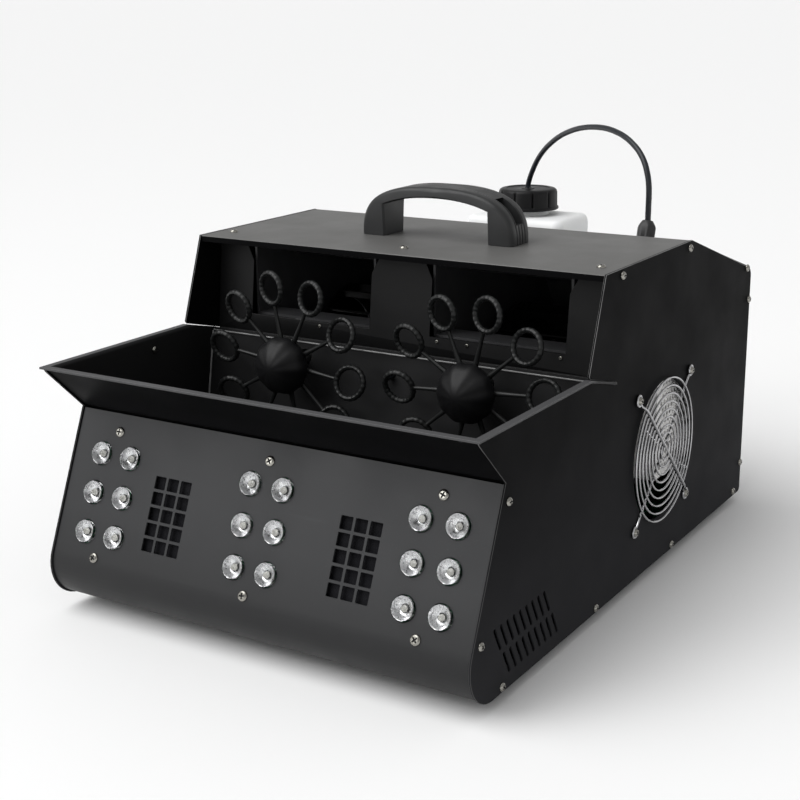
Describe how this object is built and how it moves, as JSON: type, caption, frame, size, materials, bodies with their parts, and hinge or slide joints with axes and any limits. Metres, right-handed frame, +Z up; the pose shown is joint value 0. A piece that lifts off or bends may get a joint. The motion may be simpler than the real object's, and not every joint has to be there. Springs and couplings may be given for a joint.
{
  "type": "bubble machine",
  "caption": "Stage bubble machine: black steel housing, open fluid pan, two turning wand wheels, blower windows, LED front, side intake guards, carrying handle and a feed bottle with hose.",
  "frame": {"origin": "centre of the machine's footprint, bottle and bracket included and the free hose left out, on the surface that its feet stand on", "axes": "+Z up; -Y is the front, where the LED panel and the fluid pan are; +X is to the right as seen from the front; Y is the long way"},
  "size_m": [0.3716, 0.5871, 0.3348],
  "materials": {
    "housing_paint": "fine-textured satin black powder coat",
    "front_paint": "fine-textured satin black powder coat, seen a little lighter",
    "roof_paint": "fine-textured satin black powder coat",
    "black_plastic": "matte moulded plastic with a fine grain",
    "gloss_plastic": "glossy moulded plastic",
    "milky_plastic": "milky translucent polyethylene",
    "clear_lens": "clear moulded lens with a ring of small facets",
    "chrome_wire": "bright chromium plate",
    "zinc_steel": "zinc-plated steel",
    "board_green": "green solder mask",
    "rubber": "smooth black rubber"
  },
  "bodies": {
    "housing": {"side_panel_left": "housing_paint", "side_panel_right": "housing_paint", "fascia": "housing_paint", "fluid_tray": "housing_paint", "tray_front_panel": "housing_paint", "rear_panel": "housing_paint", "bottle_bracket": "housing_paint", "base_shell": "front_paint", "roof_shell": "roof_paint", "handle": "black_plastic", "blower_housing_left": "black_plastic", "blower_housing_right": "black_plastic", "gland_body": "black_plastic", "gland_nut": "black_plastic", "pump_body": "black_plastic", "power_inlet": "black_plastic", "switch_body": "black_plastic", "display_bezel": "black_plastic", "bottle": "milky_plastic", "suction_tube": "milky_plastic", "delivery_tube": "milky_plastic", "lens_bank_left": "clear_lens", "lens_bank_centre": "clear_lens", "lens_bank_right": "clear_lens", "intake_guard_left": "chrome_wire", "intake_guard_right": "chrome_wire", "wheel_motor_left": "zinc_steel", "wheel_motor_right": "zinc_steel", "motor_bracket_left": "zinc_steel", "motor_bracket_right": "zinc_steel", "blower_motor_left": "zinc_steel", "blower_motor_right": "zinc_steel", "power_supply": "zinc_steel", "dmx_in": "zinc_steel", "dmx_out": "zinc_steel", "led_board_left": "board_green", "led_board_centre": "board_green", "led_board_right": "board_green", "control_board": "board_green", "foot_front_left": "rubber", "foot_front_right": "rubber", "foot_rear_left": "rubber", "foot_rear_right": "rubber", "feed_hose": "rubber", "dip_tube": "rubber"},
    "wheel_left": {"wheel_hub_left": "gloss_plastic", "wand_star_left": "gloss_plastic", "wheel_shaft_left": "zinc_steel"},
    "wheel_right": {"wheel_hub_right": "gloss_plastic", "wand_star_right": "gloss_plastic", "wheel_shaft_right": "zinc_steel"},
    "blower_rotor_left": {"blower_impeller_left": "black_plastic"},
    "blower_rotor_right": {"blower_impeller_right": "black_plastic"},
    "pump_rotor_body": {"pump_rotor": "milky_plastic"},
    "cap": {"bottle_cap": "black_plastic"},
    "rocker": {"switch_rocker": "black_plastic"},
    "button_1": {"menu_button_1": "gloss_plastic"},
    "button_2": {"menu_button_2": "gloss_plastic"},
    "button_3": {"menu_button_3": "gloss_plastic"},
    "button_4": {"menu_button_4": "gloss_plastic"}
  },
  "joints": [
    {"name": "wheel_left_spin", "type": "hinge", "parent": "housing", "child": "wheel_left", "pos_m": [-0.083, -0.12041, 0.168], "axis": [0, 1, 0], "continuous": true},
    {"name": "wheel_right_spin", "type": "hinge", "parent": "housing", "child": "wheel_right", "pos_m": [0.083, -0.12041, 0.168], "axis": [0, 1, 0], "continuous": true},
    {"name": "blower_left_spin", "type": "hinge", "parent": "housing", "child": "blower_rotor_left", "pos_m": [-0.086, 0.05058, 0.138], "axis": [1, 0, 0], "continuous": true},
    {"name": "blower_right_spin", "type": "hinge", "parent": "housing", "child": "blower_rotor_right", "pos_m": [0.086, 0.05058, 0.138], "axis": [1, 0, 0], "continuous": true},
    {"name": "pump_spin", "type": "hinge", "parent": "housing", "child": "pump_rotor_body", "pos_m": [0, 0.15859, 0.066], "axis": [0, 1, 0], "continuous": true},
    {"name": "cap_turn", "type": "hinge", "parent": "housing", "child": "cap", "pos_m": [-0.0614, 0.25559, 0.254], "axis": [0, 0, 1], "range_deg": [0, 540]},
    {"name": "switch_rock", "type": "hinge", "parent": "housing", "child": "rocker", "pos_m": [0.105, 0.20858, 0.044], "axis": [1, 0, 0], "range_deg": [0, 16]},
    {"name": "button_1_press", "type": "slide", "parent": "housing", "child": "button_1", "axis": [0, -1, 0], "range_m": [0, 0.0012], "stiffness_N_per_m": 400},
    {"name": "button_2_press", "type": "slide", "parent": "housing", "child": "button_2", "axis": [0, -1, 0], "range_m": [0, 0.0012], "stiffness_N_per_m": 400},
    {"name": "button_3_press", "type": "slide", "parent": "housing", "child": "button_3", "axis": [0, -1, 0], "range_m": [0, 0.0012], "stiffness_N_per_m": 400},
    {"name": "button_4_press", "type": "slide", "parent": "housing", "child": "button_4", "axis": [0, -1, 0], "range_m": [0, 0.0012], "stiffness_N_per_m": 400}
  ]
}
